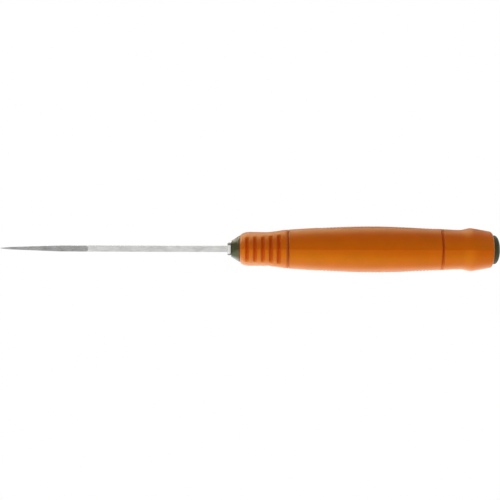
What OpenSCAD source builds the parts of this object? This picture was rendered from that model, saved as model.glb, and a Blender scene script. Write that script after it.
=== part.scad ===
// Puukko knife: a ground steel blade on a tang that runs through the handle,
// a steel ferrule, a hard bolster and core, three soft grip sections and a butt cap.
// The knife lies on its side: X runs from tip to butt, Y from edge to spine, Z is up.
// It is drawn with x = 0 at the front of the grip, y = 0 and z = 0 in the middle of
// the tang, and then set on the ground.

/* [Blade] */
// Length from the tip to the shoulder at the ferrule
blade_len = 99; // [85:1:120]
// Height from the cutting edge to the spine
blade_height = 21; // [19:0.5:23]
// Thickness of the blade
blade_thick = 2.5; // [2.2:0.1:3.2]
// Height of the spine above the middle of the tang
spine_rise = 8; // [7:0.25:8.5]
// Length of the straight clip that falls from the spine to the tip
clip_len = 39; // [32:1:46]
// Drop of the tip below the spine
tip_drop = 7.5; // [5:0.5:11]
// Length of the curved belly of the cutting edge
belly_len = 50; // [42:1:60]
// Width of the ground bevel
bevel_width = 7.5; // [6:0.25:9]
// Thickness left at the cutting edge
edge_thick = 0.2; // [0.1:0.05:0.4]
// Depth below the edge of the point that the bevel's round end turns about
plunge_drop = 2.5; // [1.5:0.5:6]
// Length of full thickness between the bevel's round end and the shoulder
ricasso_len = 3; // [1:0.5:8]
// Length over which the blade thins towards the tip
taper_len = 26; // [20:1:36]
// Thickness of the spine at the tip
tip_thick = 0.75; // [0.5:0.05:1.2]

/* [Tang] */
// Height of the tang
tang_height = 10; // [8:0.5:11]
// Step from the side of the blade down to the side of the tang
tang_step = 0.1; // [0.05:0.05:0.3]
// Height of the tail that passes through the washer
tail_height = 3; // [2.5:0.25:3.5]
// Diameter of the head peened on the tail
head_d = 4.6; // [4:0.2:5]
// Length of the peened head
head_len = 1; // [0.6:0.1:1.4]
// Thickness of the washer under the peened head
washer_thick = 1; // [0.6:0.1:1.4]

/* [Ferrule and bolster] */
// Length of the ferrule
ferrule_len = 1.6; // [1.2:0.1:3]
// Width of the ferrule
ferrule_width = 5.3; // [4.6:0.1:6]
// Radius of the ferrule's corners
ferrule_corner = 1.4; // [0.6:0.1:2]
// Height by which the ferrule stands past the spine and the edge
ferrule_lip = 0.5; // [0.3:0.1:0.8]
// Length of the bolster
bolster_len = 3.6; // [2.5:0.1:6]
// Width of the bolster's nose, behind the ferrule
nose_width = 7.4; // [6.5:0.05:8]
// Height by which the nose stands past the ferrule
nose_lip = 0.3; // [0.1:0.1:0.6]
// Rounding of the nose's edge
nose_round = 0.3; // [0.1:0.05:0.5]
// How square the nose is: 2 is an oval
nose_power = 4; // [2.5:0.5:6]
// Height by which the bolster's back edge stands past the grip's front edge
bolster_lip = 0.5; // [0.1:0.05:0.6]

/* [Core] */
// Height of the core that carries the grip sections
core_height = 15; // [14:0.5:15.5]
// Width of the core
core_width = 8; // [7.6:0.1:8.2]
// Diameter of the bore for the washer and the cap's plug
bore_d = 6; // [5.8:0.1:6.4]
// Depth of that bore
bore_depth = 9; // [8.5:0.5:14]
// Gap between pieces that fit in each other
fit = 0.1; // [0.05:0.05:0.15]

/* [Grip sections] */
// Length of the front section, which has the thumb grooves
front_len = 20.4; // [20.2:0.1:26]
// Length of the main section
main_len = 65.7; // [60:0.1:80]
// Length of the rear section
rear_len = 21.6; // [20:0.1:26]
// Width of the groove between two sections
seam_gap = 1; // [0.8:0.1:1.6]
// Depth of that groove in the middle of the back
seam_depth = 1.2; // [0.4:0.05:1.4]
// Reach of that groove to each side, as a share of half the grip's width
seam_reach = 0.92; // [0.6:0.02:0.96]
// Run of the groove's sloping walls
wall_run = 0.15; // [0.1:0.01:0.2]
// Length of the spigot that enters the main section's socket
spigot_len = 2; // [1:0.25:4]
// Step from the groove's floor down to the spigot
spigot_step = 0.2; // [0.1:0.05:0.4]
// Rounding of the section edges beside the groove
lip_round = 0.35; // [0.1:0.05:0.45]
// Number of thumb grooves
groove_count = 5; // [1:1:5]
// Distance from the grip's front to the first groove
groove_start = 3.35; // [2.8:0.05:3.6]
// Distance from groove to groove
groove_pitch = 3.4; // [2.4:0.05:3.6]
// Width of a groove
groove_width = 2; // [1.2:0.1:2.2]
// Depth of a groove
groove_depth = 1.4; // [0.4:0.1:1.6]
// Reach of the first groove to each side, as a share of half the grip's width
groove_reach = 0.72; // [0.5:0.02:0.76]
// Growth of that reach from groove to groove
groove_growth = 0.02; // [0:0.005:0.025]

/* [Grip profile] */
// Distance from the grip's front to the lowest point of the guard
guard_x = 4.6; // [4.5:0.1:6]
// Distance from the grip's front to its narrowest place
waist_x = 11.5; // [8:0.5:14]
// Distance from the grip's front to the deepest point of the finger hollow
finger_x = 15; // [12:0.5:18]
// Distance from the main section's front to the palm swell
palm_x = 36.5; // [26:0.5:40]
// Distance from the rear section's front to the neck
neck_x = 8; // [6:0.1:9]
// Distance from the rear section's front to the flare
flare_x = 12.7; // [11:0.1:14]
// Distance from the flare to the start of the straight slope behind it
slope_run = 1.6; // [1:0.1:3]
// Width at the guard
guard_width = 14.9; // [14.7:0.1:17]
// Width at the narrowest place
waist_width = 14.7; // [14.4:0.1:17]
// Width at the front gap
front_joint_width = 16.9; // [16:0.1:18.5]
// Width at the palm swell, the widest place
palm_width = 20.2; // [19:0.1:23]
// Width at the rear gap
rear_joint_width = 18; // [17.4:0.1:19]
// Width at the neck
neck_width = 17.2; // [16:0.1:18]
// Width at the flare
flare_width = 18.8; // [18.3:0.1:19]
// Width at the start of the straight slope behind the flare
slope_width = 18.3; // [17.4:0.1:18.4]
// Width at the rear end
end_width = 15.7; // [14.7:0.1:16.5]
// Height of the back at the front end
front_top = 11.8; // [11.4:0.1:12.6]
// Height of the back at the palm swell, the highest place
palm_top = 13.3; // [12.8:0.1:15]
// Height of the back at the neck
neck_top = 11.5; // [11:0.1:12.5]
// Height of the back at the flare
flare_top = 12; // [11.2:0.1:12.6]
// Height of the back at the rear end
end_top = 10.4; // [10.2:0.1:11.2]
// Depth of the belly at the front end
front_drop = 18.2; // [17:0.1:19]
// Depth of the guard, the lowest place
guard_drop = 19; // [18.5:0.1:22]
// Depth of the belly at the finger hollow
finger_drop = 12.2; // [11:0.1:13.5]
// Depth of the belly at the palm swell
palm_drop = 15.4; // [14:0.1:17]
// Depth of the belly at the neck
neck_drop = 12; // [11:0.1:13]
// Depth of the belly at the flare
flare_drop = 14.8; // [13.5:0.1:17]
// Depth of the belly at the rear end
end_drop = 12.6; // [12:0.1:14]
// How square the grip's oval sections are: 2 is an ellipse
grip_power = 2.4; // [2:0.1:3]
// Height of the ridge along the back and the belly
ridge = 0.9; // [0.2:0.05:1.2]
// Draw-in of the grip's rounded front end
front_round = 2.2; // [1.6:0.1:2.3]
// Length of the grip's rounded front end
front_round_len = 4.5; // [3:0.1:4.5]
// Rounding of the grip's rear end
rear_round = 1; // [0.8:0.1:1.5]

/* [Butt cap] */
// Length by which the cap stands out of the grip
cap_len = 3.65; // [2:0.05:5]
// Height of the cap's straight wall below its dome
cap_wall = 1.4; // [0.4:0.1:1.8]
// Depth of the cap's seat in the rear section
cap_seat = 2; // [1.6:0.1:3]
// Width of the grip's rim around the cap
cap_rim = 1.6; // [1.55:0.05:1.8]
// How full the cap's dome is: 2 is an ellipse
cap_power = 1.6; // [1.4:0.1:3]
// Length of the plug that holds the cap in the core
plug_len = 5; // [3:0.5:6]

/* [Hidden] */

// Points around one section, rings in a rounded edge and steps in a groove or curve
sides = 48;
edge_steps = 4;
groove_steps = 4;
belly_steps = 24;
// Distance between rings along plain stretches of the grip
ring_step = 2.4;
// Overrun of cutting shapes and the narrowest end of the cap
overrun = 1;
cap_tip = 0.12;
$fn = 64;

// Places along the knife
bolster_x = -bolster_len;
shoulder_x = bolster_x - ferrule_len;
tip_x = shoulder_x - blade_len;
main_x = front_len + seam_gap;
main_end = main_x + main_len;
rear_x = main_end + seam_gap;
grip_end = rear_x + rear_len;
core_end = grip_end - cap_seat;
bore_x = core_end - bore_depth;
cap_end = grip_end + cap_len;

// Draw-in of the spigots below the grip's skin
spigot_inset = seam_depth + lip_round + spigot_step;

// Blade sizes
tang_thick = blade_thick - 2 * tang_step;
edge_y = spine_rise - blade_height;
tip_y = spine_rise - tip_drop;
belly_x = tip_x + belly_len;
belly_r = (belly_len ^ 2 + (tip_y - edge_y) ^ 2) / (2 * (tip_y - edge_y));
belly_angle = asin(belly_len / belly_r);
bevel_rise = (blade_thick - edge_thick) / 2 / bevel_width;
plunge_len = sqrt(bevel_width ^ 2 + 2 * bevel_width * plunge_drop);
plunge_x = shoulder_x - ricasso_len - plunge_len;

// Profile curves of the grip as [place, size] points
widths = [
    [0, guard_width], [guard_x, guard_width], [waist_x, waist_width],
    [front_len, front_joint_width], [main_x + palm_x, palm_width],
    [main_end, rear_joint_width], [rear_x + neck_x, neck_width],
    [rear_x + flare_x, flare_width], [rear_x + flare_x + slope_run, slope_width],
    [grip_end, end_width]];
tops = [
    [0, front_top], [main_x + palm_x, palm_top], [rear_x + neck_x, neck_top],
    [rear_x + flare_x, flare_top], [grip_end, end_top]];
drops = [
    [0, front_drop], [guard_x, guard_drop], [finger_x, finger_drop],
    [main_x + palm_x, palm_drop], [rear_x + neck_x, neck_drop],
    [rear_x + flare_x, flare_drop], [grip_end, end_drop]];

// Slope of a profile curve at its point i: level at turning points
function secant(p, i) = (p[i + 1][1] - p[i][1]) / (p[i + 1][0] - p[i][0]);
function slope(p, i) =
    i == 0 ? secant(p, 0)
    : i == len(p) - 1 ? secant(p, i - 1)
    : secant(p, i - 1) * secant(p, i) <= 0 ? 0
    : 2 / (1 / secant(p, i - 1) + 1 / secant(p, i));

// Height of a profile curve at x
function stretch(p, x, i = 0) = i == len(p) - 2 || x < p[i + 1][0] ? i : stretch(p, x, i + 1);
function curve(p, x) =
    let (i = stretch(p, x), run = p[i + 1][0] - p[i][0], t = (x - p[i][0]) / run)
    p[i][1] * (1 + 2 * t) * (1 - t) ^ 2
    + p[i + 1][1] * (3 - 2 * t) * t ^ 2
    + run * (slope(p, i) * t * (1 - t) ^ 2 - slope(p, i + 1) * t ^ 2 * (1 - t));

// Evenly spaced values from a to b, no further than step apart
function spread(a, b, step) =
    let (n = ceil((b - a) / step)) [for (i = [0 : n]) a + (b - a) * i / n];

// Point of a rounded oval at angle a, as [y, z] from its middle
function oval(a, rise, half, power) = [
    rise * sign(sin(a)) * abs(sin(a)) ^ (2 / power),
    half * sign(cos(a)) * abs(cos(a)) ^ (2 / power)];

// Ring of points at x between top and bottom heights, with a cut across its back
function ring(x, top, bottom, half, power, crest = 0, cut = no_cut) =
    let (middle = (top + bottom) / 2)
    [for (i = [0 : sides - 1])
        let (
            a = 360 * i / sides,
            p = oval(a, (top - bottom) / 2 - crest, half, power),
            share = abs(p[1]) / half,
            q = p + [sign(p[0]) * crest * (1 - share) ^ 2, 0],
            in = p[0] > 0 ? cut_depth(cut, share) : 0,
            kept = q * (1 - in / norm(q)))
        [x, middle + kept[0], kept[1]]];

// Ring of the grip's outer skin at x, drawn in by inset and with a cut across its back
function skin(x, inset = 0, cut = no_cut) =
    ring(x, curve(tops, x) - inset, inset - curve(drops, x), curve(widths, x) / 2 - inset,
        grip_power, ridge, cut);

// Ring of the bore around the core
function core_hole(x) =
    [for (i = [0 : sides - 1])
        let (a = 360 * i / sides, r = core_width / 2 + fit, mid = (core_height - core_width) / 2)
        [x, r * sin(a) + mid * sign(sin(a)), r * cos(a)]];

// Draw-in of the rounded front end at x
function front_inset(x) =
    x < front_round_len ? front_round * (1 - sqrt(1 - (1 - x / front_round_len) ^ 2)) : 0;

// A cut is [depth, reach to each side, length of its round ends], the last two as shares
// of half the width. Its depth at a share of half the width:
function cut_depth(cut, share) =
    let (t = min(max((cut[1] - share) / cut[2], 0), 1)) cut[0] * sqrt(t * (2 - t));
no_cut = [0, 1, 1];
seam_cut = [seam_depth, seam_reach, seam_reach];

// Cut of thumb groove i at a distance d from its middle
function groove_cut(i, d) =
    let (t = min(abs(d) * 2 / groove_width, 1))
    [groove_depth * (1 - t ^ 2) ^ 1.5, groove_reach + i * groove_growth, groove_width / guard_width];

// Rings of a rounded edge that ends (way 1) or begins (way -1) at x
function rounded_edge(x, r, way) =
    [for (i = [0 : edge_steps])
        let (a = way > 0 ? 90 * i / edge_steps : 90 - 90 * i / edge_steps)
        skin(x - way * r * (1 - sin(a)), r * (1 - cos(a)))];

// Closed skin through a list of rings: a loop returns on itself, a stack has flat ends
module skin_solid(rings, loop) {
    last = len(rings) - 1;
    polyhedron(
        points = [for (r = rings) each r],
        faces = concat(
            [for (j = [0 : loop ? last : last - 1], i = [0 : sides - 1])
                let (
                    a = j * sides,
                    b = (j == last ? 0 : j + 1) * sides,
                    k = (i + 1) % sides)
                each [[a + i, a + k, b + k], [a + i, b + k, b + i]]],
            loop ? [] : [
                [for (i = [sides - 1 : -1 : 0]) i],
                [for (i = [0 : sides - 1]) last * sides + i]]));
}

// Moves the drawn knife onto the ground, with its box centred on the origin
module on_ground()
    translate([-(tip_x + cap_end) / 2, -(palm_top - guard_drop) / 2, palm_width / 2])
        children();

// Extrudes a shape drawn as [y, z] from x onwards
module along_x(x, length)
    translate([x, 0, 0]) rotate([90, 0, 90]) linear_extrude(length) children();

// Bar of the tang's section from x onwards
module tang_bar(x, length, height, gap = 0)
    translate([x, -height / 2 - gap, -tang_thick / 2 - gap])
        cube([length, height + 2 * gap, tang_thick + 2 * gap]);

// Slot with round ends, drawn as [y, z]
module slot_shape(height, width) {
    square([height - width, width], center = true);
    for (side = [-1, 1])
        translate([side * (height - width) / 2, 0]) circle(d = width);
}

// Bar with rounded corners, drawn as [y, z]
module rounded_bar(height, width, corner)
    offset(r = corner) square([height - 2 * corner, width - 2 * corner], center = true);

// Side outline of the blade: shoulder, straight spine, clip, tip, curved belly and edge
module blade_outline()
    polygon(concat(
        [[shoulder_x, spine_rise], [tip_x + clip_len, spine_rise]],
        [for (i = [0 : belly_steps])
            let (a = belly_angle * (1 - i / belly_steps))
            [belly_x - belly_r * sin(a), edge_y + belly_r * (1 - cos(a))]],
        [[shoulder_x, edge_y]]));

// What the grinder takes off one side, as [distance from the edge, height above the middle]
function bevel_cut() = [
    [-overrun, edge_thick / 2 - overrun * bevel_rise],
    [bevel_width + overrun, blade_thick / 2 + overrun * bevel_rise],
    [-overrun, blade_thick / 2 + overrun * bevel_rise]];

// Bevel of one side: curved along the belly, straight, and round at the ricasso
module bevel_grind() {
    translate([belly_x, edge_y + belly_r, 0])
        rotate([0, 0, -90]) rotate_extrude(angle = -2 * belly_angle, $fn = 180)
            polygon([for (p = bevel_cut()) [belly_r - p[0], p[1]]]);
    translate([belly_x, edge_y, 0])
        rotate([90, 0, 90]) linear_extrude(plunge_x - belly_x) polygon(bevel_cut());
    translate([plunge_x, edge_y - plunge_drop, 0])
        rotate_extrude(angle = 90) polygon([for (p = bevel_cut()) [plunge_drop + p[0], p[1]]]);
}

// What one side loses as the blade thins towards the tip
module tip_thinning() {
    fall = (blade_thick - tip_thick) / 2 / taper_len;
    translate([0, spine_rise + overrun, 0]) rotate([90, 0, 0])
        linear_extrude(blade_height + 2 * overrun)
            polygon([
                [tip_x - overrun, tip_thick / 2 - overrun * fall],
                [tip_x + taper_len + overrun, blade_thick / 2 + overrun * fall],
                [tip_x - overrun, blade_thick / 2 + overrun * fall]]);
}

module blade()
    color("silver") on_ground() {
        difference() {
            translate([0, 0, -blade_thick / 2]) linear_extrude(blade_thick) blade_outline();
            for (side = [0, 1]) mirror([0, 0, side]) {
                bevel_grind();
                tip_thinning();
            }
        }
        tang_bar(shoulder_x - overrun, bore_x - shoulder_x + overrun, tang_height);
        tang_bar(bore_x - overrun, overrun + washer_thick + head_len / 2, tail_height);
        translate([bore_x + washer_thick, 0, 0]) rotate([0, 90, 0]) cylinder(d = head_d, h = head_len);
    }

module ferrule()
    color("lightgray") on_ground()
        difference() {
            along_x(shoulder_x, ferrule_len)
                translate([(spine_rise + edge_y) / 2, 0])
                    rounded_bar(blade_height + 2 * ferrule_lip, ferrule_width, ferrule_corner);
            tang_bar(shoulder_x - overrun, ferrule_len + 2 * overrun, tang_height, fit);
        }

module front_bolster() {
    past = ferrule_lip + nose_lip;
    nose_top = spine_rise + past;
    nose_bottom = edge_y - past;
    nose = ring(bolster_x + nose_round, nose_top, nose_bottom, nose_width / 2, nose_power);
    nose_face = ring(bolster_x, nose_top - nose_round, nose_bottom + nose_round,
        nose_width / 2 - nose_round, nose_power);
    color("darkolivegreen") on_ground()
        difference() {
            skin_solid([nose_face, nose, skin(0, front_round - bolster_lip)], false);
            tang_bar(bolster_x - overrun, bolster_len + 2 * overrun, tang_height, fit);
        }
}

module handle_core()
    color("darkolivegreen") on_ground()
        difference() {
            along_x(0, core_end) slot_shape(core_height, core_width);
            tang_bar(-overrun, bore_x + 2 * overrun, tang_height, fit);
            translate([bore_x, 0, 0]) rotate([0, 90, 0]) cylinder(d = bore_d, h = bore_depth + overrun);
        }

module tang_washer()
    color("silver") on_ground()
        difference() {
            translate([bore_x, 0, 0]) rotate([0, 90, 0]) cylinder(d = bore_d - 2 * fit, h = washer_thick);
            tang_bar(bore_x - overrun, washer_thick + 2 * overrun, tail_height, fit);
        }

module front_grip() {
    first = groove_start - groove_width / 2;
    round_x = [for (i = [0 : edge_steps]) first * (1 - cos(90 * i / (edge_steps + 1)))];
    neck_end = main_x - fit;
    spigot_end = main_x + spigot_len;
    color("darkorange") on_ground()
        skin_solid(concat(
            [for (x = round_x) skin(x, front_inset(x))],
            [for (i = [0 : groove_count - 1], k = [-groove_steps : groove_steps])
                let (d = k / groove_steps * groove_width / 2, x = groove_start + i * groove_pitch + d)
                skin(x, front_inset(x), groove_cut(i, d))],
            rounded_edge(front_len, lip_round, 1),
            [for (p = [[front_len + wall_run, 0], [neck_end - wall_run, 0], [neck_end, lip_round]])
                skin(p[0], p[1], seam_cut)],
            [skin(neck_end, spigot_inset), skin(spigot_end, spigot_inset)],
            [core_hole(spigot_end), core_hole(0)]), true);
}

module main_grip() {
    socket = spigot_inset - fit;
    front_seat = main_x + spigot_len;
    rear_seat = main_end - spigot_len;
    color("darkorange") on_ground()
        skin_solid(concat(
            [skin(front_seat, socket), skin(main_x, socket)],
            rounded_edge(main_x, lip_round, -1),
            [for (x = spread(main_x + ring_step / 2, main_end - ring_step / 2, ring_step)) skin(x)],
            rounded_edge(main_end, lip_round, 1),
            [skin(main_end, socket), skin(rear_seat, socket)],
            [core_hole(rear_seat), core_hole(front_seat)]), true);
}

module rear_grip() {
    neck_start = main_end + fit;
    spigot_end = main_end - spigot_len;
    color("darkorange") on_ground()
        skin_solid(concat(
            [skin(spigot_end, spigot_inset), skin(neck_start, spigot_inset)],
            [for (p = [[neck_start, lip_round], [neck_start + wall_run, 0], [rear_x - wall_run, 0]])
                skin(p[0], p[1], seam_cut)],
            rounded_edge(rear_x, lip_round, -1),
            [for (x = spread(rear_x + ring_step / 2, grip_end - rear_round - ring_step / 2, ring_step / 2))
                skin(x)],
            rounded_edge(grip_end, rear_round, 1),
            [cap_ring(grip_end, 1, fit), cap_ring(core_end, 1, fit)],
            [core_hole(core_end), core_hole(spigot_end)]), true);
}

// Ring of the butt cap at x, shrunk to a share of its full size and widened by a gap
function cap_ring(x, share, gap = 0) =
    let (
        top = end_top - cap_rim,
        bottom = cap_rim - end_drop,
        middle = (top + bottom) / 2,
        rise = (top - bottom) / 2 * share + gap,
        half = (end_width / 2 - cap_rim) * share + gap)
    ring(x, middle + rise, middle - rise, half, grip_power);

module butt_cap() {
    dome_x = grip_end + cap_wall;
    dome_len = cap_len - cap_wall;
    dome = [for (i = [0 : 2 * edge_steps]) 1 - (1 - cap_tip) * (1 - cos(45 * i / edge_steps))];
    color("darkolivegreen") on_ground() {
        skin_solid(concat(
            [cap_ring(core_end, 1)],
            [for (s = dome) cap_ring(dome_x + dome_len * (1 - s ^ cap_power) ^ (1 / cap_power), s)],
            [cap_ring(cap_end, cap_tip / 2)]), false);
        translate([core_end - plug_len, 0, 0]) rotate([0, 90, 0])
            cylinder(d = bore_d - 2 * fit, h = plug_len + overrun);
    }
}

blade();
ferrule();
front_bolster();
handle_core();
tang_washer();
front_grip();
main_grip();
rear_grip();
butt_cap();
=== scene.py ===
"""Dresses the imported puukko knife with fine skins, materials, light and a camera.

The knife lies on its side: X runs from tip to butt, Y from edge to spine, Z is up.
Lengths are in metres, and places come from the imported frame.
"""

import math

import bpy
import numpy as np
from mathutils import Matrix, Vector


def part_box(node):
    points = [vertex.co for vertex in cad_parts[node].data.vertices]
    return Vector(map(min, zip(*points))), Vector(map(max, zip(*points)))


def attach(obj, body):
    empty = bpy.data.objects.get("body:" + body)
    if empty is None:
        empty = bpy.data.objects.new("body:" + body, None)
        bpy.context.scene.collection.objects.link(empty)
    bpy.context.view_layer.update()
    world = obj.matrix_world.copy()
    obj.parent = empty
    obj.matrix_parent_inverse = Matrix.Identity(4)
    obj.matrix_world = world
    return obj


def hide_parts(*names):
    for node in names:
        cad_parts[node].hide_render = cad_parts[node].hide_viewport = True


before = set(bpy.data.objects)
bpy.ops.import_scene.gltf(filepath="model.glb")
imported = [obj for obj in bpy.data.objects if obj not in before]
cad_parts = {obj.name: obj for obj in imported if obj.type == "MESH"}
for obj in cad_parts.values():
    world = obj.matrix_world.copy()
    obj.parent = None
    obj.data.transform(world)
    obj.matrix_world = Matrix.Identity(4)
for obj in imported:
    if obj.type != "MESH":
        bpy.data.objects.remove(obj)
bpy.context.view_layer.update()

MM = 0.001
WHITE = (1, 1, 1, 1)

# Shape of the grip sections, as in the solids
GRIP_POWER = 2.4
RIDGE = 0.9 * MM
FRONT_ROUND = 2.2 * MM
FRONT_ROUND_LEN = 4.5 * MM
REAR_ROUND = 1 * MM
LIP_ROUND = 0.35 * MM
FIT = 0.1 * MM

# Grooves between the sections and the spigots under them
SEAM_GAP = 1 * MM
SEAM_DEPTH = 1.2 * MM
SEAM_REACH = 0.92
WALL_RUN = 0.15 * MM
SPIGOT_LEN = 2 * MM
SPIGOT_INSET = 1.75 * MM

# Thumb grooves across the back of the front section
GROOVE_COUNT = 5
GROOVE_START = 3.35 * MM
GROOVE_PITCH = 3.4 * MM
GROOVE_WIDTH = 2 * MM
GROOVE_DEPTH = 1.4 * MM
GROOVE_POWER = 1.5
GROOVE_REACH = 0.72
GROOVE_GROWTH = 0.02
GROOVE_ENDS = 0.3

# Knurled panels on the sides of the main section: square points between crossing cuts
KNURL_PITCH = 1.5 * MM
KNURL_DEPTH = 0.5 * MM
KNURL_CUT = 0.8
KNURL_STEPS = 6
PANEL_START = 12.5 * MM
PANEL_MARGIN = 1.2 * MM
PANEL_HALF_HEIGHT = 6.2 * MM
PANEL_END_POWER = 6
PANEL_SIDE_POWER = 3
PANEL_FADE = 0.25
PANEL_RISE = 14 * MM

# Bolster, ferrule and tang
NOSE_POWER = 4
NOSE_ROUND = 0.3 * MM
BOLSTER_EASE = 0.2 * MM
FERRULE_ROUND = 0.4 * MM
FERRULE_CORNER = 1.4 * MM
TANG_HEIGHT = 10 * MM
TANG_THICK = 2.3 * MM
SLOT_POWER = 12

# Butt cap
CAP_POWER = 1.6
CAP_WALL = 1.4 * MM
CAP_TIP = 0.03
PLUG_RADIUS = 2.9 * MM
PLUG_LEN = 5 * MM

# Blade finish: the ground spine ends at the clip in a rounded line
CLIP_LEN = 39 * MM
BLADE_THICK = 2.5 * MM
CLIP_CORNER = 0.8 * MM
CLIP_POWER = 4
CLIP_BLUR = 0.1 * MM

# Fineness of the skins: points of a quarter ring on each grip section, and steps along the knife
FRONT_POINTS = 90
MAIN_POINTS = 80
REAR_POINTS = 60
CREST_TURNS = (0.012, 0.005, 0)
MIN_TURN = 0.005
EDGE_STEPS = 6
BODY_STEPS = 4 * EDGE_STEPS
RING_STEP = 0.35 * MM
GROOVE_STEP = 0.1 * MM
SIDES = 192

# Angle from which an edge is shaded as sharp
CREASE = math.radians(40)

# Length that counts as none
TINY = 1e-9

# Room beside a rounded lip before the first plain ring, and after the last one
LIP_ROOM = 2 * LIP_ROUND
LIP_CLEAR = 1.5 * LIP_ROUND

# Span in which most of a noise falls
NOISE_SPAN = (0.3, 0.7)

# Orange soft plastic: tones, specks, and the painted shade and extra roughness in its grooves and gaps
GRIP_TONES = ((0.63, 0.074, 0.001, 1), (0.69, 0.084, 0.001, 1))
GRIP_ROUGH = (0.42, 0.54)
GRIP_TINT = (0.7, 1, 0.05, 1)
GRIP_SHEEN = (1, 1, 0.6, 1)
SPECK_TONE = (0.57, 0.066, 0.001, 1)
SPECK_SPAN = (0.55, 0.8)
SPECK_SHARE = (0, 0.25)
HOLLOW_SHADE_TONE = (0.62, 0.066, 0.001, 1)
HOLLOW_ROUGH = 0.9
HOLLOW_SPAN = (0.95, 0.45)
HOLLOW_REACH = 1.5 * MM

# Dark hard plastic: tones, and the roughness of the bolster and of the butt cap
DARK_TONES = ((0.015, 0.016, 0.005, 1), (0.023, 0.024, 0.009, 1))
DARK_TINT = (0.95, 1, 0.6, 1)
MOULDED_ROUGH = (0.31, 0.41)
MATTE_ROUGH = (0.62, 0.75)

# Ferrule steel: tones where it is ground, and the painted shade on its sides
FERRULE_TONES = ((0.72, 0.71, 0.69, 1), (0.84, 0.83, 0.81, 1))
FERRULE_SIDE_SHADE = (0.16, 0.154, 0.15, 1)
FERRULE_SLANT = (0.15, 0.6)
FERRULE_ROUGH = (0.38, 0.5)
SCRATCH_SPAN = (0.35, 0.7)

# Blade steel: tones of the brushed sides, the spine, and the clip with its painted dark reflection, and
# how upright the sides and flats are
BRUSHED_TONES = ((0.3, 0.3, 0.294, 1), (0.43, 0.43, 0.422, 1))
BRUSHED_ROUGH = (0.22, 0.36)
SPINE_TONES = ((0.57, 0.575, 0.557, 1), (0.77, 0.775, 0.752, 1))
CLIP_REFLECTION_TONES = ((0.27, 0.272, 0.27, 1), (0.43, 0.432, 0.425, 1))
SPINE_ROUGH = (0.36, 0.5)
MARK_SPAN = (0.35, 0.65)
SIDE_SLANT = (0.5, 0.6)
FLAT_SLANT = (0.994, 0.996)

# Floor: its colour as it shows and as it lights the knife, its glow and finish, and half its side
FLOOR_WHITE = (0.94, 0.94, 0.94, 1)
FLOOR_BOUNCE = (0.62, 0.62, 0.62, 1)
FLOOR_GLOW = 0.55
FLOOR_ROUGH = 0.9
FLOOR_HALF = 6

# Soft lamps, far away: strength, and degrees of width, of lean about X and of turn about Y
LAMPS = {
    "key": (1.45, 80, -30, -28),
    "top": (1.5, 140, 20, 0),
    "rim": (1.2, 76, 52, -20),
    "fill": (1.45, 60, 143, 20),
}

# Colour of the light from below, which is a little warmer than the rest
FILL_COLOUR = (1, 0.9, 0.7)

# Brightness of the room as light, and the share of the white background that shows in glosses
ROOM_LIGHT = 0.08
GLOSS_SHARE = 0.6

# Camera, where the photograph was taken from: facing the spine, edge-on to the floor
CAMERA_DISTANCE = 650 * MM
VIEW_WIDTH = 218.84 * MM
SENSOR = 36
PHOTO_TILT = math.radians(0.2)
PHOTO_DROP = 0.5 * MM
PHOTO_SIDE = -0.05 * MM
CAMERA_HEIGHT = 0.02 * MM

# Places along the knife, read from the frame
GRIP_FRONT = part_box("front_grip")[0].x
MAIN_FRONT, MAIN_REAR = (corner.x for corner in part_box("main_grip"))
GRIP_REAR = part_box("rear_grip")[1].x
FRONT_END = MAIN_FRONT - SEAM_GAP
REAR_START = MAIN_REAR + SEAM_GAP
CORE_LOW, CORE_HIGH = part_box("handle_core")
TANG_Y = (CORE_LOW.y + CORE_HIGH.y) / 2
MIDDLE_Z = (CORE_LOW.z + CORE_HIGH.z) / 2
TIP_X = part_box("blade")[0].x


def mesh_array(items, key, width, kind):
    """Values of one attribute of a mesh's items as rows."""
    values = np.empty(len(items) * width, kind)
    items.foreach_get(key, values)
    return values.reshape(-1, width)


def section(node, x):
    """Top, bottom and half width of a CAD node where the plane at x cuts it."""
    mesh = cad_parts[node].data
    points = mesh_array(mesh.vertices, "co", 3, np.float32).astype(float)
    edges = mesh_array(mesh.edges, "vertices", 2, np.int32)
    start = points[edges[:, 0]]
    run = points[edges[:, 1]] - start
    ahead = x - start[:, 0]
    cut = (abs(run[:, 0]) > TINY) & (ahead * (ahead - run[:, 0]) <= TINY ** 2)
    share = ahead[cut] / run[cut, 0]
    met = start[cut] + share[:, None] * run[cut]
    return met[:, 1].max(), met[:, 1].min(), met[:, 2].max() - MIDDLE_Z


def ring_places(node, start, end):
    """Places along X of a CAD node's rings between start and end."""
    places = np.unique(mesh_array(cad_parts[node].data.vertices, "co", 3, np.float32)[:, 0])
    places = places.astype(float)
    return list(places[(places > start) & (places < end)])


def groove_middles():
    """Places along X of the thumb grooves."""
    return GRIP_FRONT + GROOVE_START + GROOVE_PITCH * np.arange(GROOVE_COUNT)


def read_profile():
    """Stations of the grip's skin as rows of place, top, bottom and half width, without its roundings."""
    lands = groove_middles()[1:] - GROOVE_PITCH / 2
    main = ring_places("main_grip", MAIN_FRONT + LIP_ROOM, MAIN_REAR - LIP_ROOM)
    rear = ring_places("rear_grip", REAR_START + LIP_ROOM, GRIP_REAR - REAR_ROUND)
    stations = [("front_grip", GRIP_FRONT, FRONT_ROUND)]
    stations += [("front_grip", x, 0) for x in [*lands, FRONT_END - LIP_ROOM]]
    stations += [("main_grip", x, 0) for x in main]
    stations += [("rear_grip", x, 0) for x in rear]
    stations += [("rear_grip", GRIP_REAR, REAR_ROUND)]
    rows = []
    for node, x, inset in stations:
        top, bottom, half = section(node, x)
        rows.append((x, top + inset, bottom - inset, half + inset))
    return np.array(rows).T


PROFILE = read_profile()


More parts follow.
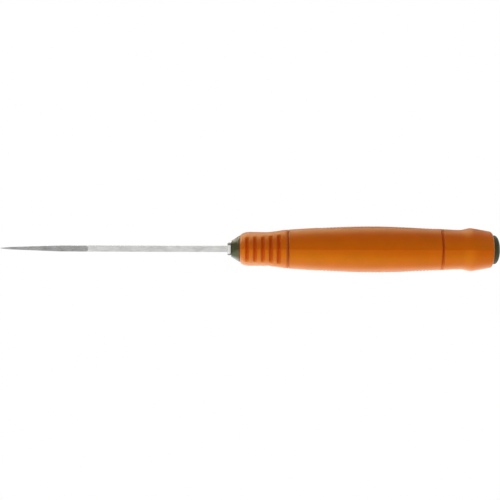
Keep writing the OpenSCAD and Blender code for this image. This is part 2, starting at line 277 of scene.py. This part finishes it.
def smooth_curve(places, values, x):
    """Cubic curve through the values that never overshoots them."""
    run = np.diff(places)
    secant = np.diff(values) / run
    turn = secant[:-1] * secant[1:]
    total = secant[:-1] + secant[1:]
    inner = np.where(turn > 0, 2 * turn / np.where(turn > 0, total, 1), 0)
    slope = np.concatenate([secant[:1], inner, secant[-1:]])
    i = np.clip(np.searchsorted(places, x) - 1, 0, len(run) - 1)
    t = (x - places[i]) / run[i]
    level = values[i] * (1 + 2 * t) * (1 - t) ** 2 + values[i + 1] * (3 - 2 * t) * t ** 2
    return level + run[i] * (slope[i] * t * (1 - t) ** 2 - slope[i + 1] * t ** 2 * (1 - t))


def signed_power(values, power):
    """Power of the size of each value, with its sign kept."""
    return np.sign(values) * abs(values) ** power


def oval(top, bottom, half, power, angles, crest=0.0):
    """Rounded ovals as arrays of Y and Z, a row for each ring and a column for each angle."""
    top, bottom, half = (np.atleast_1d(size)[:, None] for size in (top, bottom, half))
    y = ((top - bottom) / 2 - crest) * signed_power(np.sin(angles), 2 / power)
    z = half * signed_power(np.cos(angles), 2 / power)
    y = y + np.sign(y) * crest * (1 - abs(z) / half) ** 2
    return (top + bottom) / 2 + y, z


def rings_at(x, y, z):
    """Points of rings, with X given for each ring and Z measured from the knife's middle."""
    x = np.broadcast_to(np.atleast_1d(x)[:, None], y.shape)
    return np.stack([x, y, z + MIDDLE_Z], axis=-1)


def groove_depth(x, share):
    """Depth of the thumb grooves at places x and shares of half the width."""
    depth = np.zeros_like(share)
    for i, middle in enumerate(groove_middles()):
        across = np.clip(abs(x - middle) * 2 / GROOVE_WIDTH, 0, 1)
        along = np.clip((GROOVE_REACH + i * GROOVE_GROWTH - share) / GROOVE_ENDS, 0, 1)
        depth = depth + GROOVE_DEPTH * (1 - across ** 2) ** GROOVE_POWER * along * (2 - along)
    return depth


def seam_depth(_, share):
    """Depth of the groove between two sections, deep in the middle of the back and flush at the sides."""
    return SEAM_DEPTH * np.sqrt(np.clip(1 - (share / SEAM_REACH) ** 2, 0, 1))


def skin(x, inset, angles, back_cut=None):
    """Rings of the grip's skin, drawn in by inset, with a cut across the back."""
    x = np.atleast_1d(np.asarray(x, float))
    inset = np.broadcast_to(np.asarray(inset, float), x.shape)
    top, bottom, half = (smooth_curve(PROFILE[0], sizes, x) for sizes in PROFILE[1:])
    y, z = oval(top - inset, bottom + inset, half - inset, GRIP_POWER, angles, RIDGE)
    if back_cut:
        share = abs(z) / (half - inset)[:, None]
        middle = ((top + bottom) / 2)[:, None]
        depth = np.where(y > middle, back_cut(x[:, None], share), 0)
        keep = 1 - depth / np.hypot(y - middle, z)
        y = middle + (y - middle) * keep
        z = z * keep
    return rings_at(x, y, z)


def quarter_turn():
    """Turns from 0 to a quarter in the steps of a rounded edge."""
    return np.linspace(0, math.pi / 2, EDGE_STEPS + 1)


def rounded_edge(x, radius, way, angles):
    """Rings of a rounded edge of the skin that ends (way 1) or begins (way -1) at x."""
    turn = quarter_turn()[::way]
    return skin(x - way * radius * (1 - np.sin(turn)), radius * (1 - np.cos(turn)), angles)


def rounded_bar(x, height, width, corner, angles):
    """Ring with straight sides and rounded corners, centred on the tang."""
    y = corner * np.sin(angles) + (height / 2 - corner) * np.sign(np.sin(angles))
    z = corner * np.cos(angles) + (width / 2 - corner) * np.sign(np.cos(angles))
    return rings_at(x, TANG_Y + y[None, :], z[None, :])


def core_hole(x, angles):
    """Ring of the bore around the core."""
    height = CORE_HIGH.y - CORE_LOW.y + 2 * FIT
    width = CORE_HIGH.z - CORE_LOW.z + 2 * FIT
    return rounded_bar(x, height, width, width / 2, angles)


def tang_slot(x, angles):
    """Ring of the slot around the tang."""
    half_height = TANG_HEIGHT / 2 + FIT
    half_width = TANG_THICK / 2 + FIT
    y, z = oval(TANG_Y + half_height, TANG_Y - half_height, half_width, SLOT_POWER, angles)
    return rings_at(x, y, z)


def loft(name, rings, loop=True):
    """Closed mesh through rings: a loop returns on itself, a stack has flat ends."""
    rings = np.concatenate(rings)
    count, sides = rings.shape[:2]
    index = np.arange(count * sides).reshape(count, sides)
    ahead = np.roll(index, -1, axis=0)
    ends = []
    if not loop:
        ends = [index[0].tolist(), index[-1, ::-1].tolist()]
        index, ahead = index[:-1], ahead[:-1]
    corners = [index, ahead, np.roll(ahead, -1, axis=1), np.roll(index, -1, axis=1)]
    faces = np.stack(corners, axis=-1).reshape(-1, 4).tolist()
    mesh = bpy.data.meshes.new(name)
    mesh.from_pydata(rings.reshape(-1, 3), [], faces + ends)
    mesh.validate()
    mesh.shade_smooth()
    mesh.set_sharp_from_angle(angle=CREASE)
    piece = bpy.data.objects.new(name, mesh)
    bpy.context.scene.collection.objects.link(piece)
    return piece


def even_angles(count):
    """Angles evenly around a ring, from +Z over the back."""
    return np.linspace(0, 2 * math.pi, count, endpoint=False)


def crest_turn(count):
    """Turns from 0 to a quarter, with extra ones beside the quarter for a crisp crest."""
    even = np.linspace(0, math.pi / 2, count)
    return np.concatenate([even[:-1], math.pi / 2 - np.array(CREST_TURNS)])


def mirror_angles(quarter):
    """Angles all around a ring from the turns of one quarter, from +Z up to the crest."""
    back = np.concatenate([quarter, math.pi - quarter[-2::-1]])
    return np.concatenate([back, math.pi + back[1:-1]])


def panel_angles():
    """Angles around a ring whose points follow the rows of knurls on both sides."""
    step = KNURL_PITCH / KNURL_STEPS
    rows = np.arange(math.ceil(PANEL_HALF_HEIGHT / step) + 1)
    side = np.arcsin(signed_power(rows * step / PANEL_RISE, GRIP_POWER / 2))
    plain = crest_turn(MAIN_POINTS)
    return mirror_angles(np.concatenate([side, plain[plain > side[-1] + MIN_TURN]]))


def sawtooth_cut(t):
    """Depth share of a row of V cuts, one in each unit of t."""
    return np.clip(1 - abs(t - np.floor(t) - 0.5) * 2 / KNURL_CUT, 0, 1)


def knurl_depth(x, row):
    """Depth of the knurled panel at places x and rows above the panel's middle."""
    start = MAIN_FRONT + PANEL_START
    end = MAIN_REAR - PANEL_MARGIN
    along = (2 * x - start - end) / (end - start)
    edge = 1 - along ** PANEL_END_POWER - abs(row / PANEL_HALF_HEIGHT) ** PANEL_SIDE_POWER
    inside = np.clip(edge / PANEL_FADE, 0, 1)
    cuts = np.maximum(sawtooth_cut((x - start) / KNURL_PITCH), sawtooth_cut(row / KNURL_PITCH))
    return KNURL_DEPTH * inside * cuts


def make_front_grip():
    """Front section: a rounded front end, thumb grooves and a collar under the first seam."""
    angles = mirror_angles(crest_turn(FRONT_POINTS))
    turn = np.linspace(math.pi / 2, 0, BODY_STEPS)
    start = GRIP_FRONT + FRONT_ROUND_LEN * (1 - np.sin(turn))
    inset = FRONT_ROUND * (1 - np.cos(turn))
    plain = np.arange(start[-1] + GROOVE_STEP, FRONT_END - LIP_CLEAR, GROOVE_STEP)
    x = np.concatenate([start, plain])
    inset = np.concatenate([inset, 0 * plain])
    collar = [FRONT_END + WALL_RUN, MAIN_FRONT - FIT - WALL_RUN, MAIN_FRONT - FIT]
    spigot = [MAIN_FRONT - FIT, MAIN_FRONT + SPIGOT_LEN]
    return loft("front_grip_skin", [
        skin(x, inset, angles, groove_depth),
        rounded_edge(FRONT_END, LIP_ROUND, 1, angles),
        skin(collar, [0, 0, LIP_ROUND], angles, seam_depth),
        skin(spigot, SPIGOT_INSET, angles),
        core_hole(spigot[1], angles),
        core_hole(GRIP_FRONT, angles)])


def make_main_grip():
    """Main section with a knurled panel on each side."""
    angles = panel_angles()
    seat = [MAIN_FRONT + SPIGOT_LEN, MAIN_REAR - SPIGOT_LEN]
    socket = SPIGOT_INSET - FIT
    step = KNURL_PITCH / KNURL_STEPS
    panel = np.arange(MAIN_FRONT + PANEL_START, MAIN_REAR - PANEL_MARGIN, step)
    front = np.arange(MAIN_FRONT + LIP_ROOM, panel[0] - step, RING_STEP)
    rear = np.arange(panel[-1] + step, MAIN_REAR - LIP_CLEAR, RING_STEP)
    x = np.concatenate([front, panel, rear])
    outside = skin(x, 0, angles)
    row = PANEL_RISE * signed_power(np.sin(angles), 2 / GRIP_POWER)
    side = np.sign(np.cos(angles))
    outside[:, :, 2] -= side * knurl_depth(x[:, None], row[None, :])
    return loft("main_grip_skin", [
        skin([seat[0], MAIN_FRONT], socket, angles),
        rounded_edge(MAIN_FRONT, LIP_ROUND, -1, angles),
        outside,
        rounded_edge(MAIN_REAR, LIP_ROUND, 1, angles),
        skin([MAIN_REAR, seat[1]], socket, angles),
        core_hole(seat[1], angles),
        core_hole(seat[0], angles)])


def cap_ring(x, share, gap, angles):
    """Rings of the butt cap, shrunk to a share of its full size and widened by a gap."""
    top, bottom, half = section("butt_cap", GRIP_REAR)
    share = np.atleast_1d(share)
    middle = (top + bottom) / 2
    rise = (top - bottom) / 2 * share + gap
    y, z = oval(middle + rise, middle - rise, half * share + gap, GRIP_POWER, angles)
    return rings_at(x, y, z)


def make_rear_grip():
    """Rear section with its collar, neck, flare and the seat of the butt cap."""
    angles = mirror_angles(crest_turn(REAR_POINTS))
    spigot = [MAIN_REAR - SPIGOT_LEN, MAIN_REAR + FIT]
    collar = [MAIN_REAR + FIT, MAIN_REAR + FIT + WALL_RUN, REAR_START - WALL_RUN]
    x = np.arange(REAR_START + LIP_ROOM, GRIP_REAR - REAR_ROUND - RING_STEP / 2, RING_STEP)
    return loft("rear_grip_skin", [
        skin(spigot, SPIGOT_INSET, angles),
        skin(collar, [LIP_ROUND, 0, 0], angles, seam_depth),
        rounded_edge(REAR_START, LIP_ROUND, -1, angles),
        skin(x, 0, angles),
        rounded_edge(GRIP_REAR, REAR_ROUND, 1, angles),
        cap_ring(GRIP_REAR, 1, FIT, angles),
        cap_ring(CORE_HIGH.x, 1, FIT, angles),
        core_hole(CORE_HIGH.x, angles),
        core_hole(spigot[0], angles)])


def make_butt_cap():
    """Butt cap: a low dome on a straight wall, with the plug that holds it in the core."""
    angles = even_angles(SIDES)
    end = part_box("butt_cap")[1].x
    start = GRIP_REAR + CAP_WALL
    share = np.cos(np.linspace(0, math.acos(CAP_TIP), BODY_STEPS))
    dome = start + (end - start) * (1 - share ** CAP_POWER) ** (1 / CAP_POWER)
    plug = np.array([CORE_HIGH.x - PLUG_LEN, CORE_HIGH.x])
    y = np.tile(TANG_Y + PLUG_RADIUS * np.sin(angles), (2, 1))
    z = np.tile(PLUG_RADIUS * np.cos(angles), (2, 1))
    return loft("butt_cap_dome", [
        rings_at(plug, y, z),
        cap_ring(CORE_HIGH.x, 1, 0, angles),
        cap_ring(dome, share, 0, angles)], loop=False)


def make_bolster():
    """Bolster that grows from its squarish nose to the grip's oval, with eased edges."""
    angles = even_angles(SIDES)
    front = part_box("front_bolster")[0].x
    turn = quarter_turn()
    between = np.linspace(0, 1, BODY_STEPS)[1:-2]
    nose_y, nose_z = oval(*section("front_bolster", front + NOSE_ROUND), NOSE_POWER, angles)
    back_y, back_z = oval(*section("front_bolster", GRIP_FRONT), GRIP_POWER, angles, RIDGE)
    share = np.concatenate([0 * turn, between, 1 + 0 * turn])
    inset = np.concatenate([
        NOSE_ROUND * (1 - np.sin(turn)), 0 * between, BOLSTER_EASE * (1 - np.cos(turn))])
    x = front + NOSE_ROUND + (GRIP_FRONT - BOLSTER_EASE - front - NOSE_ROUND) * share
    x[:len(turn)] -= NOSE_ROUND * np.cos(turn)
    x[-len(turn):] += BOLSTER_EASE * np.sin(turn)
    y = nose_y + share[:, None] * (back_y - nose_y)
    z = nose_z + share[:, None] * (back_z - nose_z)
    middle = y.mean(axis=1)[:, None]
    keep = 1 - inset[:, None] / np.hypot(y - middle, z)
    return loft("bolster_body", [
        rings_at(x, middle + (y - middle) * keep, z * keep),
        tang_slot(GRIP_FRONT, angles),
        tang_slot(front, angles)])


def make_ferrule():
    """Ferrule plate with rounded corners and edges."""
    angles = even_angles(SIDES)
    low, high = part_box("ferrule")
    turn = quarter_turn()
    x = np.concatenate([low.x + FERRULE_ROUND * (1 - np.sin(turn[::-1])),
                        high.x - FERRULE_ROUND * (1 - np.sin(turn))])
    inset = FERRULE_ROUND * (1 - np.cos(np.concatenate([turn[::-1], turn])))
    height = high.y - low.y
    width = high.z - low.z
    rings = [rounded_bar(place, height - 2 * draw, width - 2 * draw, FERRULE_CORNER - draw, angles)
             for place, draw in zip(x, inset)]
    offset = (high.y + low.y) / 2 - TANG_Y
    for ring in rings:
        ring[:, :, 1] += offset
    return loft("ferrule_plate", rings + [tang_slot(high.x, angles), tang_slot(low.x, angles)])


def add(tree, kind, inputs=None, **settings):
    """New shader node, with its settings and its inputs as values or links."""
    made = tree.nodes.new(kind)
    for name, value in settings.items():
        setattr(made, name, value)
    for socket, value in (inputs or {}).items():
        if isinstance(value, bpy.types.NodeSocket):
            tree.links.new(value, made.inputs[socket])
        else:
            made.inputs[socket].default_value = value
    return made


def new_material(name):
    """Node material with its tree and its shader."""
    made = bpy.data.materials.new(name)
    made.use_nodes = True
    return made, made.node_tree, made.node_tree.nodes["Principled BSDF"]


def object_place(tree):
    """Place of each shaded point on its object."""
    return add(tree, "ShaderNodeTexCoord").outputs["Object"]


def noise(tree, place, scale, detail, stretch=(1, 1, 1)):
    """Soft noise with scale cells to the metre, stretched along the axes."""
    moved = add(tree, "ShaderNodeMapping", {"Vector": place, "Scale": stretch}).outputs[0]
    inputs = {"Vector": moved, "Scale": scale, "Detail": detail}
    return add(tree, "ShaderNodeTexNoise", inputs).outputs[0]


def fit_range(tree, value, span, target=(0, 1)):
    """Value moved from its span to a target range and kept inside it."""
    inputs = {0: value, 1: span[0], 2: span[1], 3: target[0], 4: target[1]}
    return add(tree, "ShaderNodeMapRange", inputs).outputs[0]


def blend(tree, share, first, second):
    """Colour between two colours, in numbered sockets because a mix node's names repeat."""
    return add(tree, "ShaderNodeMix", {0: share, 6: first, 7: second}, data_type="RGBA").outputs[2]


def shade(tree, value, span, tones):
    """Colour that runs from the first tone to the second as a value runs over its span."""
    return blend(tree, fit_range(tree, value, span), *tones)


def mix_value(tree, share, first, second):
    """Number between two numbers, in numbered sockets too."""
    return add(tree, "ShaderNodeMix", {0: share, 2: first, 3: second}, data_type="FLOAT").outputs[0]


def calculate(tree, operation, first, second=0.0):
    """Result of a calculation on one or two numbers."""
    return add(tree, "ShaderNodeMath", {0: first, 1: second}, operation=operation).outputs[0]


def relief(tree, height, strength, depth):
    """Normal of a surface with fine relief."""
    inputs = {"Height": height, "Strength": strength, "Distance": depth}
    return add(tree, "ShaderNodeBump", inputs).outputs[0]


def openness(tree, reach):
    """1 on open surfaces, and less in grooves and gaps about as wide as the reach."""
    return add(tree, "ShaderNodeAmbientOcclusion", {"Distance": reach}).outputs["AO"]


def upright(tree):
    """1 on faces that look straight up or down, such as the blade's flats, and 0 on its spine."""
    facing = add(tree, "ShaderNodeNewGeometry").outputs["True Normal"]
    return calculate(tree, "ABSOLUTE", add(tree, "ShaderNodeSeparateXYZ", {0: facing}).outputs[2])


def connect(tree, shader, links, values):
    """Links and values of a shader's inputs."""
    for socket, source in links.items():
        tree.links.new(source, shader.inputs[socket])
    for socket, value in values.items():
        shader.inputs[socket].default_value = value


def orange_rubber():
    """Satin soft plastic with slight clouds in its colour, a fine mould grain, and painted shade in its
    grooves and gaps.
    """
    made, tree, shader = new_material("orange_rubber")
    place = object_place(tree)
    cloud = noise(tree, place, scale=160, detail=3)
    grain = noise(tree, place, scale=4200, detail=2)
    colour = shade(tree, cloud, NOISE_SPAN, GRIP_TONES)
    speck = fit_range(tree, grain, SPECK_SPAN, SPECK_SHARE)
    speckled = blend(tree, speck, colour, SPECK_TONE)
    hollow_shade = fit_range(tree, openness(tree, HOLLOW_REACH), HOLLOW_SPAN)
    satin = fit_range(tree, grain, NOISE_SPAN, GRIP_ROUGH)
    connect(tree, shader, {
        # The tone in hollows is painted shade, darker where ambient occlusion finds grooves and gaps
        "Base Color": blend(tree, hollow_shade, speckled, HOLLOW_SHADE_TONE),
        "Roughness": mix_value(tree, hollow_shade, satin, HOLLOW_ROUGH),
        "Normal": relief(tree, grain, strength=0.35, depth=0.04 * MM),
    }, {
        "IOR": 1.75,
        "Specular Tint": GRIP_TINT,
        "Sheen Weight": 0.6,
        "Sheen Roughness": 0.3,
        "Sheen Tint": GRIP_SHEEN,
    })
    return made


def dark_plastic(name, roughness):
    """Olive black hard plastic with a fine moulded texture and a range of roughness."""
    made, tree, shader = new_material(name)
    place = object_place(tree)
    grain = noise(tree, place, scale=3600, detail=3)
    cloud = noise(tree, place, scale=260, detail=2)
    connect(tree, shader, {
        "Base Color": shade(tree, cloud, NOISE_SPAN, DARK_TONES),
        "Roughness": fit_range(tree, grain, NOISE_SPAN, roughness),
        "Normal": relief(tree, grain, strength=0.3, depth=0.03 * MM),
    }, {
        "IOR": 1.6,
        "Specular Tint": DARK_TINT,
    })
    return made


def polished_steel():
    """Ferrule steel with faint scratches, bright where it was ground, with a painted shade on its sides.
    """
    made, tree, shader = new_material("ferrule_steel_polished")
    place = object_place(tree)
    scratch = noise(tree, place, scale=900, detail=4, stretch=(1, 1, 9))
    colour = shade(tree, scratch, SCRATCH_SPAN, FERRULE_TONES)
    # Faces that slant up or down take a dark tone: painted shade
    dark = fit_range(tree, upright(tree), FERRULE_SLANT)
    connect(tree, shader, {
        "Base Color": blend(tree, dark, colour, FERRULE_SIDE_SHADE),
        "Roughness": fit_range(tree, scratch, NOISE_SPAN, FERRULE_ROUGH),
        "Normal": relief(tree, scratch, strength=0.2, depth=0.01 * MM),
    }, {"Metallic": 1.0})
    return made


def ground_zone(tree, place):
    """Share of the spine's bright ground finish, which ends at the clip in a rounded line."""
    parts = add(tree, "ShaderNodeSeparateXYZ", {0: place})
    aside = calculate(tree, "ABSOLUTE", calculate(tree, "SUBTRACT", parts.outputs[2], MIDDLE_Z))
    edge = calculate(tree, "POWER", calculate(tree, "DIVIDE", aside, BLADE_THICK / 2), CLIP_POWER)
    corner = calculate(tree, "MULTIPLY", edge, CLIP_CORNER)
    line = calculate(tree, "SUBTRACT", TIP_X + CLIP_LEN, corner)
    past = calculate(tree, "SUBTRACT", parts.outputs[0], line)
    return fit_range(tree, past, (-CLIP_BLUR, CLIP_BLUR))


def blade_steel():
    """Blade steel: brushed flats, cross-ground bevels, a bright scratched spine and a clip with a painted
    dark reflection.
    """
    made, tree, shader = new_material("blade_steel_ground")
    place = object_place(tree)
    slant = upright(tree)
    side = fit_range(tree, slant, SIDE_SLANT)
    flat = fit_range(tree, slant, FLAT_SLANT)
    along = noise(tree, place, scale=60, detail=4, stretch=(1, 90, 90))
    across = noise(tree, place, scale=60, detail=4, stretch=(110, 3, 3))
    blotch = noise(tree, place, scale=420, detail=5, stretch=(0.6, 1.4, 1.4))
    streak = noise(tree, place, scale=300, detail=4, stretch=(1, 12, 12))
    lines = mix_value(tree, flat, across, along)
    marks = mix_value(tree, 0.5, blotch, streak)
    brushed = shade(tree, lines, NOISE_SPAN, BRUSHED_TONES)
    spine = shade(tree, marks, MARK_SPAN, SPINE_TONES)
    # The clip's darker tones are a painted dark reflection
    clip = shade(tree, marks, MARK_SPAN, CLIP_REFLECTION_TONES)
    narrow = blend(tree, ground_zone(tree, place), clip, spine)
    narrow_rough = fit_range(tree, marks, NOISE_SPAN, SPINE_ROUGH)
    side_rough = fit_range(tree, lines, NOISE_SPAN, BRUSHED_ROUGH)
    height = mix_value(tree, side, marks, lines)
    connect(tree, shader, {
        "Base Color": blend(tree, side, narrow, brushed),
        "Roughness": mix_value(tree, side, narrow_rough, side_rough),
        "Normal": relief(tree, height, strength=0.25, depth=0.01 * MM),
    }, {"Metallic": 1.0})
    return made


def dress(piece, node, finish):
    """Lets a piece stand for a CAD node and its material."""
    piece.data.materials.append(finish)
    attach(piece, "root")
    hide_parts(node)


def dress_knife():
    """Makes the pieces and gives every shown surface its material."""
    rubber = orange_rubber()
    plastic = dark_plastic("dark_plastic_moulded", MOULDED_ROUGH)
    matte = dark_plastic("dark_plastic_matte", MATTE_ROUGH)
    bright = polished_steel()
    dress(make_front_grip(), "front_grip", rubber)
    dress(make_main_grip(), "main_grip", rubber)
    dress(make_rear_grip(), "rear_grip", rubber)
    dress(make_bolster(), "front_bolster", plastic)
    dress(make_butt_cap(), "butt_cap", matte)
    dress(make_ferrule(), "ferrule", bright)
    for node, finish in (("blade", blade_steel()), ("handle_core", plastic), ("tang_washer", bright)):
        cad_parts[node].material_slots[0].material = finish


def shown_share(tree):
    """1 to the camera, and less in glosses and through glass, which show the white background too."""
    path = add(tree, "ShaderNodeLightPath").outputs
    passed_on = calculate(tree, "MAXIMUM", path["Is Glossy Ray"], path["Is Transmission Ray"])
    dimmed = calculate(tree, "MULTIPLY", passed_on, GLOSS_SHARE)
    return calculate(tree, "MAXIMUM", path["Is Camera Ray"], dimmed)


def pale_floor():
    """Matt floor finish that shows as white, and lights the knife less than it shows."""
    made, tree, shader = new_material("pale_floor")
    shown = shown_share(tree)
    colour = blend(tree, shown, FLOOR_BOUNCE, FLOOR_WHITE)
    connect(tree, shader, {"Base Color": colour}, {"Roughness": FLOOR_ROUGH, "Specular IOR Level": 0.0})
    glow = add(tree, "ShaderNodeEmission", {"Color": WHITE, "Strength": 1.0})
    share = calculate(tree, "MULTIPLY", shown, FLOOR_GLOW)
    mixed = add(tree, "ShaderNodeMixShader", {0: share, 1: shader.outputs[0], 2: glow.outputs[0]})
    tree.links.new(mixed.outputs[0], tree.nodes["Material Output"].inputs["Surface"])
    return made


def make_floor():
    """Plain pale floor under the knife, which lets the light from below through."""
    mesh = bpy.data.meshes.new("floor")
    corners = [(x * FLOOR_HALF, y * FLOOR_HALF, 0) for x, y in ((-1, -1), (1, -1), (1, 1), (-1, 1))]
    mesh.from_pydata(corners, [], [(0, 1, 2, 3)])
    mesh.materials.append(pale_floor())
    floor = bpy.data.objects.new("floor", mesh)
    floor.visible_shadow = False
    bpy.context.scene.collection.objects.link(floor)


def add_lamp(name, strength, width, lean, turn):
    """Soft distant lamp, which shines down before it leans about X and turns about Y."""
    light = bpy.data.lights.new(name, "SUN")
    light.energy = strength
    light.angle = math.radians(width)
    lamp = bpy.data.objects.new(name, light)
    lamp.rotation_euler = (math.radians(lean), math.radians(turn), 0)
    bpy.context.scene.collection.objects.link(lamp)
    return light


def make_light():
    """Soft lamps from the camera's side, from above, from behind and from below."""
    lights = {name: add_lamp(name, *values) for name, values in LAMPS.items()}
    lights["fill"].color = FILL_COLOUR
    # Only shadow rays pass the floor, so rays that leave the knife don't look for this lamp
    lights["fill"].cycles.use_multiple_importance_sampling = False


def make_room():
    """Dim room that shows as white."""
    world = bpy.data.worlds.new("room")
    world.use_nodes = True
    bpy.context.scene.world = world
    tree = world.node_tree
    strength = calculate(tree, "MAXIMUM", shown_share(tree), ROOM_LIGHT)
    connect(tree, tree.nodes["Background"], {"Strength": strength}, {"Color": WHITE})


def make_camera():
    """Camera facing the spine at floor level, with the tip on the left and the floor at the top."""
    lens = bpy.data.cameras.new("camera")
    lens.sensor_width = SENSOR
    lens.lens = SENSOR * CAMERA_DISTANCE / VIEW_WIDTH
    camera = bpy.data.objects.new("camera", lens)
    bpy.context.scene.collection.objects.link(camera)
    camera.location = (PHOTO_SIDE, CAMERA_DISTANCE, CAMERA_HEIGHT)
    rise = math.atan((MIDDLE_Z + PHOTO_DROP - CAMERA_HEIGHT) / CAMERA_DISTANCE)
    level = Matrix(((1, 0, 0), (0, 0, 1), (0, -1, 0)))
    turn = Matrix.Rotation(-rise, 3, "X") @ level @ Matrix.Rotation(PHOTO_TILT, 3, "Z")
    camera.rotation_euler = turn.to_euler()
    bpy.context.scene.camera = camera


dress_knife()
make_floor()
make_light()
make_room()
make_camera()
bpy.context.scene.view_settings.view_transform = "Standard"
